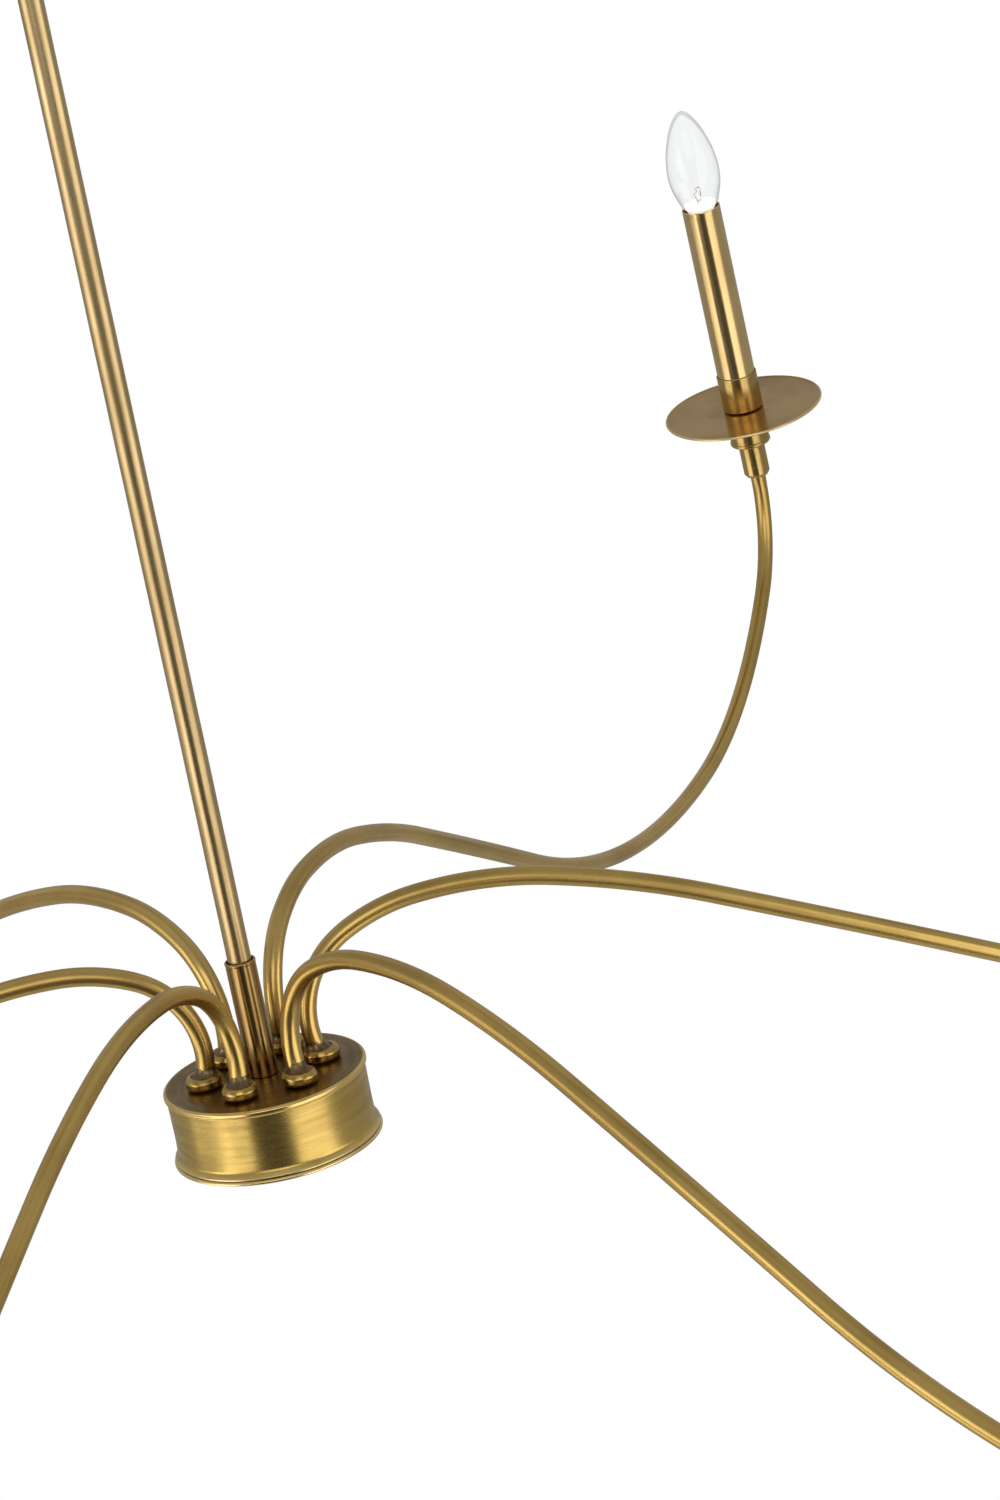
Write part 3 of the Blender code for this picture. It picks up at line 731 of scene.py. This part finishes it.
outer = np.full(len(line[0]), TUBE_OUTER)
outer += TIP_SWELL * np.exp(-((line[0][-1] - SPIGOT - line[0]) / TIP_REACH) ** 2)
inner = np.full(len(line[0]), TUBE_INNER)
for number, letter in enumerate(ARMS):
    place = PLACES[letter]
    place_piece(turn_lumpy("bead_ring_" + letter, bead_outline, place, number, 0.012),
                bead_brass, ("bead_" + letter,), sharp=60)
    place_piece(solder_fillet("solder_" + letter, place, number), solder_metal, sharp=60)
    place_piece(sweep("arm_tube_" + letter, place, arm_line(letter), outer, inner, 36), arm_brass,
                ("arm_" + letter,), sharp=50)
print("arms:", len(ARMS), "tubes of", len(line[0]), "rings")


# %% [markdown]
# ## Candles
#
# Up from the tip of each arm: a turned coupler with a flange, the drip pan resting on it, a
# cup, and the tall sleeve that hides the socket. The pan is thin sheet with a rolled edge; its
# flat face has a soft brown finish, satin enough to mirror the cup as a blur. Each piece is
# held down on the next by the threaded tube, so thin dark lines separate them.

# %% Seat, pan, cup, sleeve and socket outlines
seat_outline = [(5.75, 0.0, 0.2), (7.4, 0.0, 0.3), (8.95, 2.4, 0.5), (8.95, 24.2, 0.2),
                (13.2, 24.3, 0.4), (13.9, 25.2, 0.5), (13.9, 26.4, 0.5), (13.4, 27.2, 0.3),
                (13.6, 48.5, 0.2), (4.9, 48.6, 0.1), (4.9, 150.0, 0.3), (3.0, 150.0, 0.1),
                (3.0, 8.5, 0.1), (5.75, 8.5, 0.1)]
pan_outline = [(5.5, 48.9, 0.1), (52.8, 48.9, 0.4), (54.2, 49.1, 0.4), (54.6, 49.9, 0.5),
               (54.1, 50.8, 0.4), (53.3, 50.75, 0.3), (52.6, 50.15, 0.5), (5.5, 50.1, 0.1)]
cup_outline = [(5.5, 50.4, 0.1), (12.6, 50.4, 0.4), (13.75, 51.3, 0.6), (13.8, 76.0, 0.25),
               (13.5, 76.4, 0.2), (13.25, 76.0, 0.15), (13.25, 51.6, 0.3), (5.5, 51.4, 0.1)]
sleeve_outline = [(12.2, 51.9, 0.1), (13.0, 51.9, 0.2), (13.0, 197.3, 0.4), (12.8, 197.9, 0.25),
                  (12.3, 197.9, 0.25), (12.2, 197.2, 0.2)]
socket_outline = [(3.3, 150.4, 0.1), (3.3, 139.0, 0.1), (7.2, 138.6, 0.5), (9.4, 139.8, 0.8),
                  (9.4, 180.6, 0.5), (9.0, 182.5, 0.6), (7.0, 182.5, 0.4), (6.5, 181.7, 0.3),
                  (6.5, 158.0, 0.2), (5.2, 156.5, 0.2), (4.4, 152.4, 0.2), (3.6, 151.2, 0.1)]
CANDLE_PARTS = (
    ("seat", seat_outline, cup_brass, "antique_brass", "pan_seat_", 72, None),
    ("pan", pan_outline, pan_brass, "dark_brass", "drip_pan_", 144, (53.2, 54.2)),
    ("cup", cup_outline, cup_brass, "candle_brass", "candle_cup_", 88, None),
    ("sleeve", sleeve_outline, sleeve_brass, "candle_brass", "candle_sleeve_", 88, None),
    ("holder", socket_outline, phenolic, "socket_black", "socket_", 40, None),
)
print("candle parts on each arm:", ", ".join(part[0] for part in CANDLE_PARTS))


# %% [markdown]
# ## Lamps
#
# The lamp is clear blown glass drawn to a blunt flame, over a nickel screw shell. Blown glass
# has no corners, so its outline is a smooth curve through a few diameters. It needs both an
# outer and an inner skin, since a solid lump of glass would act as a lens and turn the world
# behind it upside down. Inside stand a glass mount, two leads and a fine hooped wire.

# %% The lamp's own surfaces
GLASS_STATIONS = ((5.6, 183.6), (5.9, 186.0), (8.2, 191.5), (11.6, 197.9), (14.5, 205.9),
                  (16.6, 213.0), (17.6, 221.0), (17.3, 229.0), (16.1, 237.0), (13.9, 245.0),
                  (11.2, 252.5), (8.2, 258.6), (5.0, 263.2), (2.4, 265.4), (0.0, 266.0))
GLASS_WALL = 0.6


def smooth_outline(stations, steps):
    """Points on a smooth curve through the stations: each stretch is a cubic whose slope at a
    station is half the difference of its neighbours. It arrives level at the last one."""
    knots = np.array(stations, float)
    slopes = np.gradient(knots, axis=0)
    slopes[-1] = (knots[-1] - knots[-2]) * np.array([1.6, 0.0])
    t = np.linspace(0, 1, steps, endpoint=False)[None, :, None]
    first, last = knots[:-1, None], knots[1:, None]
    rise, fall = slopes[:-1, None], slopes[1:, None]
    curve = ((2 * t**3 - 3 * t**2 + 1) * first + (t**3 - 2 * t**2 + t) * rise
             + (3 * t**2 - 2 * t**3) * last + (t**3 - t**2) * fall)
    return np.concatenate([curve.reshape(-1, 2), knots[-1:]])


def spin_points(name, outline, place, around):
    """Skin of revolution straight from (radius, height) points in mm, with no easing."""
    radius, height = outline[:, :1], outline[:, 1:]
    return spin(name, place, way_round(around), radius, height, height * MM,
                np.zeros((len(outline), around)), close_rows=False)


def unit_way(points):
    """The direction of travel at each point of a line."""
    way = np.gradient(points, axis=0)
    return way / np.linalg.norm(way, axis=1)[:, None]


def wire(name, points, radius, place, around=10):
    """A round wire along (x, y, z) points in mm, closed at both ends by shrinking rings."""
    points = np.array(points, float)
    way = unit_way(points)
    side = np.cross(way, [0.0, 1.0, 0.02])
    side /= np.linalg.norm(side, axis=1)[:, None]
    other = np.cross(way, side)
    points = np.concatenate([points[:1], points, points[-1:]])
    side, other = (np.concatenate([v[:1], v, v[-1:]]) for v in (side, other))
    size = np.concatenate([[0.0], np.full(len(way), radius), [0.0]])[:, None, None]
    angle = way_round(around)[None, :, None]
    grid = points[:, None] + size * (np.cos(angle) * side[:, None] + np.sin(angle) * other[:, None])
    row = np.arange(len(points))[:, None] * MM
    return lay_skin(name, moved(grid * MM, place), skin_map(angle[0, :, 0], row),
                    np.zeros(grid.shape[:2]), close_rows=False)


def glass_shell():
    """Outer outline up to the tip, then the same curve one wall thickness inside, back down."""
    outside = smooth_outline(GLASS_STATIONS, 5)
    way = unit_way(outside)
    inside = outside + GLASS_WALL * np.stack([-way[:, 1], way[:, 0]], axis=1)
    inside[-1, 0] = 0.0
    inside[:, 0] = np.maximum(inside[:, 0], 0.0)
    return np.concatenate([outside[::-1], inside])


base_outline = np.concatenate([
    [(0.0, 157.6), (1.9, 157.6), (2.5, 158.4), (2.6, 159.6), (4.6, 160.6)],
    np.stack([5.75 + 0.33 * np.cos(np.linspace(0, 12 * np.pi, 61)), np.linspace(162.0, 177.5, 61)],
             axis=1),
    [(6.05, 179.0), (6.1, 183.2), (5.4, 184.0), (3.2, 184.2), (0.0, 184.2)]])
press_outline = smooth_outline(((0.0, 189.0), (6.0, 189.4), (7.4, 193.0), (10.2, 198.2),
                                (10.9, 200.2), (9.8, 201.0), (4.0, 201.6), (0.0, 201.7)), 5)
mount_outline = smooth_outline(((0.0, 184.4), (4.6, 184.5), (4.2, 187.5), (2.6, 192.0),
                                (1.7, 199.0), (1.3, 202.0), (1.9, 203.6), (1.3, 205.0),
                                (0.0, 205.4)), 4)
print("glass:", len(glass_shell()), "rings, wall", GLASS_WALL, "mm")


# %% [markdown]
# The hooped wire stands between two leads that spread from the mount. Its line is half a
# flattened loop with three waves; the leads bend a little where they leave the glass.

# %% Put the candles and lamps on their arms
LEAD_RADIUS, HOOP_RADIUS = 0.32, 0.2


def lead_points(side):
    """From the mount's shoulder up, leaning out: most at its foot, then nearly straight."""
    t = np.linspace(0, 1, 9)
    return np.stack([side * (1.3 + 4.2 * t ** 0.8), 0 * t, 199.0 + 8.0 * t], axis=1)


def hoop_points():
    """Hoop between the lead tips: a low arch plus three small waves."""
    t = np.linspace(0, 1, 49)
    return np.stack([5.5 * np.cos(np.pi * (1 - t)), 1.1 * np.sin(6 * np.pi * t),
                     207.0 + 4.5 * np.sin(np.pi * t) ** 0.7], axis=1)


for letter in ARMS:
    tip, up = CANDLES[letter]
    place = axis_frame(tip, up, PLACES[letter].col[0].xyz)
    for part, outline, material, slot_name, node, around, polish in CANDLE_PARTS:
        place_piece(turn(part + "_" + letter, outline, place, around, 5.0, polish=polish),
                    material, (node + letter,))
    lamp = "lamp_" + letter
    place_piece(spin_points("glass_" + letter, glass_shell(), place, 96), glass,
                ("bulb_" + letter,), lamp, sharp=80)
    for mesh, material in (
        (spin_points("screw_shell_" + letter, base_outline, place, 40), nickel),
        # the press gets the opal's painted glow
        (spin_points("press_" + letter, press_outline, place, 48), painted_glow_opal),
        (spin_points("mount_" + letter, mount_outline, place, 32), glass),
        (wire("lead_in_" + letter, lead_points(1), LEAD_RADIUS, place), wire_metal),
        (wire("lead_out_" + letter, lead_points(-1), LEAD_RADIUS, place), wire_metal),
        (wire("hoop_" + letter, hoop_points(), HOOP_RADIUS, place), filament_metal),
    ):
        place_piece(mesh, material, (), lamp, sharp=60)
print("candles and lamps:", len(ARMS))


# %% [markdown]
# ## The ceiling end
#
# The top of the stem hangs on a small swivel below a spun cover: a fork, a pin through it and
# a tongue that fills the fork's slot. A fork is a turned rod with a slot sawn through it, so
# each cheek's cross-section is a disc with its middle strip gone, a D. The chord and the arc
# of that D are one closed ring of points, and stacking the ring makes the cheek. The pin runs
# straight through the cheeks and the blade: the holes that it hides are only in the skeleton.

# %% Canopy, nut and swivel
canopy_outline = [(5.1, -26.0, 0.2), (51.6, -26.0, 6.0), (59.6, -22.8, 4.0), (62.0, -18.0, 5.0),
                  (62.0, -1.6, 0.4), (62.0, -0.5, 0.3), (60.9, -0.5, 0.2), (60.8, -18.0, 4.0),
                  (58.8, -21.8, 3.5), (50.4, -24.8, 5.0), (5.1, -24.8, 0.2)]
nut_outline = [(5.1, -26.3, 0.2), (5.1, -32.5, 0.3), (10.4, -32.5, 0.7), (11.5, -31.4, 0.7),
               (11.5, -27.3, 0.7), (10.6, -26.3, 0.5)]
place_piece(turn("canopy_shell", canopy_outline, AXIS, around=144, longest=5.0), hub_brass,
            ("canopy",), "ceiling_mount")


def knurled(name, corners, place, teeth, depth):
    """A turned skin whose rim is waved: r changes by depth * (cos(teeth * a) - 1)."""
    outline, wear = spread(*ease(corners), 0.5)
    angle, height = way_round(teeth * 8), outline[:, 1:]
    rim = np.clip((outline[:, :1] - 10.2) / 0.8, 0, 1)
    radius = outline[:, :1] + depth * rim * (np.cos(teeth * angle) - 1)
    worn = np.clip(wear[:, None] + rim * (0.5 + 0.5 * np.cos(teeth * angle)), 0, 1)
    return spin(name, place, angle, radius, height, height * MM, worn)


place_piece(knurled("ring_nut", nut_outline, AXIS, 30, 0.22), cup_brass, ("canopy_ring_nut",),
            "ceiling_mount")


def stack_sections(name, heights, radii, section, place):
    """Rings of one cross-section, scaled by radius, stacked at the heights; poles close it."""
    shape = section(np.array(radii, float)[:, None])
    heights = np.array(heights, float)
    grid = np.concatenate([shape, np.broadcast_to(heights[:, None, None],
                                                  (*shape.shape[:2], 1))], axis=2)
    ends = [np.broadcast_to(grid[i].mean(axis=0), grid[i].shape)[None] for i in (0, -1)]
    grid = np.concatenate([ends[0], grid, ends[1]]) * MM
    skin = grid * np.array([60.0, 60.0, 1.0])
    return lay_skin(name, moved(grid, place), skin, np.zeros(grid.shape[:2]), False)


CHORD = np.linspace(0, 1, 15)[None, 1:-1, None]     # the inner points of a straight side


def circle_part(radii, limit, steps):
    angle = limit * np.linspace(-1, 1, steps)[None]
    return np.stack([radii * np.cos(angle), radii * np.sin(angle)], axis=2)


def cheek_section(side, slot_half):
    """D-shaped ring: an arc of the rod's circle, closed by the chord at x = slot_half."""
    def ring(radii):
        arc = circle_part(radii, np.arccos(np.minimum(slot_half / radii, 0.999)), 33)
        chord = arc[:, -1:] * (1 - CHORD) + arc[:, :1] * CHORD
        return np.concatenate([arc, chord], axis=1) * np.array([side, 1.0])
    return ring


def blade_section(half):
    """Flat blade cut from a rod: a ring between x = -half and x = half, round at both ends."""
    def ring(radii):
        front = circle_part(radii, np.arcsin(np.minimum(half / radii, 0.999)), 17)[..., ::-1]
        down = front[:, -1:] * (1 - CHORD) + front[:, -1:] * np.array([1.0, -1.0]) * CHORD
        up = down[:, ::-1] * np.array([-1.0, 1.0])
        return np.concatenate([front, down, -front, up], axis=1)
    return ring


PIN_Z = -54.0
fork_top_outline = [(0.0, -6.0, 0.0), (4.8, -6.0, 0.5), (4.8, -32.8, 0.3), (8.0, -32.8, 0.6),
                    (8.0, -45.0, 0.1), (0.0, -45.0, 0.0)]
place_piece(turn("fork_shank", fork_top_outline, AXIS, around=64, closed=False), cup_brass,
            ("swivel_fork",), "ceiling_mount")
cheek_heights = (-44.9, -61.3, -61.8, -62.0)
cheek_radii = (8.0, 8.0, 7.8, 7.3)
for label, side in (("fork_cheek_right", 1.0), ("fork_cheek_left", -1.0)):
    place_piece(stack_sections(label, cheek_heights, cheek_radii, cheek_section(side, 2.4), AXIS),
                cup_brass, (), "ceiling_mount")
pin_place = Matrix.Translation((0, 0, PIN_Z * MM)) @ Matrix.Rotation(math.radians(90), 4, "Y")
pin_outline = [(0.0, -9.6, 0.0), (2.4, -9.5, 0.5), (3.3, -8.8, 0.4), (3.3, -8.3, 0.1),
               (2.0, -8.2, 0.1), (2.0, 8.2, 0.1), (3.3, 8.3, 0.1), (3.3, 8.8, 0.4),
               (2.4, 9.5, 0.5), (0.0, 9.6, 0.0)]
place_piece(turn("swivel_rivet", pin_outline, pin_place, around=40, closed=False), steel,
            ("swivel_pin",), "ceiling_mount")
blade_heights = (-48.2, -48.9, -50.5, -52.0, -69.5, -70.2)
blade_radii = (3.4, 4.6, 5.6, 6.0, 6.0, 6.0)
place_piece(stack_sections("tongue_blade", blade_heights, blade_radii, blade_section(2.1), AXIS),
            cup_brass)
barrel_outline = [(0.0, -69.9, 0.0), (6.2, -69.9, 0.5), (7.2, -71.0, 0.6), (7.2, -87.0, 0.4),
                  (5.0, -87.0, 0.1), (5.0, -104.6, 0.4), (0.0, -105.3, 0.0)]
place_piece(turn("tongue_barrel", barrel_outline, AXIS, around=64, closed=False), stem_brass,
            ("swivel_tongue",))
for node in ("ceiling_plate", "stem_nipple"):
    frame["nodes"][node].data.materials.clear()
    frame["nodes"][node].data.materials.append(steel)
print("ceiling end done; steel on the ceiling plate and the nipple")


# %% [markdown]
# ## Light, floor and camera
#
# Polished metal shows the room more than itself, so the room is designed: a dim even wrap, and
# tall soft boxes a little behind the camera, left and right. Every tube then shows two long
# highlights with a dark band between them, where it mirrors the dark cloth hung in the gap.
# The floor and the sky are white to the camera and dim to everything that reflects them, which
# is how a white ground is lit. Through glass they are white in a patch behind the lamps, and
# half as bright elsewhere.

# %% World and floor
ROOM_GREY, GROUND_WHITE, THROUGH_GLASS = 0.42, 1.0, 0.50
BEHIND_LAMP = (0.188, 0.966, -0.178)    # unit vector, on the camera's line through the lamp
PATCH_CORE, PATCH_END = 0.16, 0.34      # the white patch's full and outer size, per unit away
FLOOR_DEPTH, FLOOR_HALF = -4.6, 70.0
world = bpy.data.worlds.new("studio")
world.use_nodes = True
bpy.context.scene.world = world
sky = world.node_tree
room, ground = sky.nodes["Background"], add_node(sky, "ShaderNodeBackground")
for node, tint, strength in ((room, (0.98, 1.0, 1.02, 1.0), ROOM_GREY),
                             (ground, (1.0, 1.0, 1.0, 1.0), GROUND_WHITE)):
    node.inputs["Color"].default_value = tint
    node.inputs["Strength"].default_value = strength


def show_white(tree, spot, middle, reach, usual, white, surface):
    """Gives the surface input white for camera rays, and partly for rays through glass.

    Those get all of it where spot is near middle, and THROUGH_GLASS of it further off.
    """
    rays = add_node(tree, "ShaderNodeLightPath").outputs
    gap = add_node(tree, "ShaderNodeVectorMath", operation="DISTANCE")
    feed(tree, gap.inputs[0], spot)
    feed(tree, gap.inputs[1], middle)
    straight = remap(tree, gap.outputs["Value"], PATCH_CORE * reach, PATCH_END * reach, 1.0,
                     THROUGH_GLASS)
    through = compute(tree, "MULTIPLY", straight, rays["Is Transmission Ray"])
    pick = add_node(tree, "ShaderNodeMixShader")
    seen = compute(tree, "MAXIMUM", rays["Is Camera Ray"], through)
    for socket, source in zip(pick.inputs, (seen, usual, white)):
        feed(tree, socket, source)
    feed(tree, surface, pick.outputs[0])


def quad(name, corners, material):
    mesh = bpy.data.meshes.new(name)
    mesh.from_pydata(corners, [], [(0, 1, 2, 3)])
    mesh.materials.append(material)
    return add_object(name, mesh)


show_white(sky, add_node(sky, "ShaderNodeTexCoord").outputs["Generated"], BEHIND_LAMP, 1.0,
           room.outputs[0], ground.outputs[0], sky.nodes["World Output"].inputs["Surface"])
pale, tree, shader = new_material("pale floor", {"Base Color": (0.80, 0.80, 0.79, 1.0),
                                                 "Roughness": 0.9})
lamp_line = FLOOR_DEPTH / BEHIND_LAMP[2]
show_white(tree, add_node(tree, "ShaderNodeTexCoord").outputs["Object"],
           [lamp_line * v for v in BEHIND_LAMP], lamp_line, shader.outputs[0],
           add_node(tree, "ShaderNodeEmission").outputs[0],
           tree.nodes["Material Output"].inputs["Surface"])
floor = quad("studio_floor", [(x * FLOOR_HALF, y * FLOOR_HALF, FLOOR_DEPTH)
                              for x, y in ((-1, -1), (1, -1), (1, 1), (-1, 1))], pale)
floor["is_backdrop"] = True
print("floor at", FLOOR_DEPTH, "m")


# %% [markdown]
# The camera stands where the view was taken from: a long lens, above the candles and looking
# down, rolled eleven degrees, so that the stem leans across the picture. The five soft boxes and
# two cloths are placed by angle from the camera's direction, as one walks round a real set.

# %% Camera and soft boxes
AIM = Vector((0.1524, -0.0192, -0.5791))
FORWARD = Vector((0.1194, 0.9492, -0.2913)).normalized()
UPWARD = Vector((0.2280, 0.2593, 0.9385))
DISTANCE, LENS = 2.444, 114.25
side = FORWARD.cross(UPWARD).normalized()
top = side.cross(FORWARD)
camera = add_object("camera", bpy.data.cameras.new("camera"))
bpy.context.scene.camera = camera
camera.matrix_world = (Matrix.Translation(AIM - FORWARD * DISTANCE)
                       @ Matrix((side, top, -FORWARD)).transposed().to_4x4())
camera.data.sensor_width = 36.0
camera.data.lens = LENS
camera.data.clip_start, camera.data.clip_end = 0.05, 300.0


def spot_at(bearing, distance, height):
    """The point `bearing` degrees round from the camera (right is positive) about AIM."""
    away = math.atan2(-FORWARD.y, -FORWARD.x) + math.radians(bearing)
    return Vector((AIM.x + distance * math.cos(away), AIM.y + distance * math.sin(away), height))


def soft_box(name, bearing, distance, size, radiance, middle):
    """Area light that faces in.

    Its power is radiance * pi * area, so a box keeps its brightness when its size changes.
    """
    light = bpy.data.lights.new(name, "AREA")
    light.shape, light.size, light.size_y = "RECTANGLE", *size
    light.energy = radiance * math.pi * size[0] * size[1]
    light.color = (1.0, 0.985, 0.96)
    box = add_object(name, light)
    box.location = spot = spot_at(bearing, distance, middle)
    box.rotation_mode = "QUATERNION"
    box.rotation_quaternion = (Vector((AIM.x, AIM.y, middle)) - spot).to_track_quat("-Z", "Z")
    box.visible_camera = box.visible_transmission = False


for settings in (
    ("soft_box_left", -44.0, 3.0, (1.5, 5.3), 1.28, -1.85),
    ("soft_box_far_left", -74.0, 3.0, (1.7, 2.8), 0.60, -0.50),
    ("soft_box_far_left_low", -80.0, 3.0, (2.4, 2.6), 1.25, -3.20),
    ("soft_box_right", 43.0, 3.0, (2.5, 5.3), 1.16, -1.85),
    ("soft_box_above", -5.0, 3.2, (2.6, 2.2), 1.0, 0.75),
):
    soft_box(*settings)
cloth = new_material("black cloth", {"Base Color": (0.10, 0.10, 0.10, 1), "Roughness": 1.0})[0]


def black_flag(name, away, bearings, heights):
    """Upright dark cloth between two bearings from the camera and between two heights."""
    (first, last), (low, high) = bearings, heights
    flag = quad(name, [spot_at(bearing, away, height) for bearing, height in
                       ((first, low), (last, low), (last, high), (first, high))], cloth)
    flag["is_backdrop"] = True
    flag.visible_camera = flag.visible_transmission = flag.visible_shadow = False


black_flag("black_flag", 3.1, (-29.0, 19.0), (FLOOR_DEPTH, -0.45))
black_flag("black_flag_low", 2.75, (-53.0, 21.0), (FLOOR_DEPTH, -1.82))
bpy.context.scene.view_settings.view_transform = "Standard"
print("camera", round(DISTANCE, 2), "m away, lens", LENS, "mm")


# %% [markdown]
# Last, the two boxes are compared: the skeleton's as it came, and the finished model's.

# %% Measure and finish
visual_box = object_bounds()
for label, (low, high) in (("skeleton", CAD_BOX), ("finished", visual_box)):
    print(label, "box:", [round((b - a) / MM, 1) for a, b in zip(low, high)], "mm")
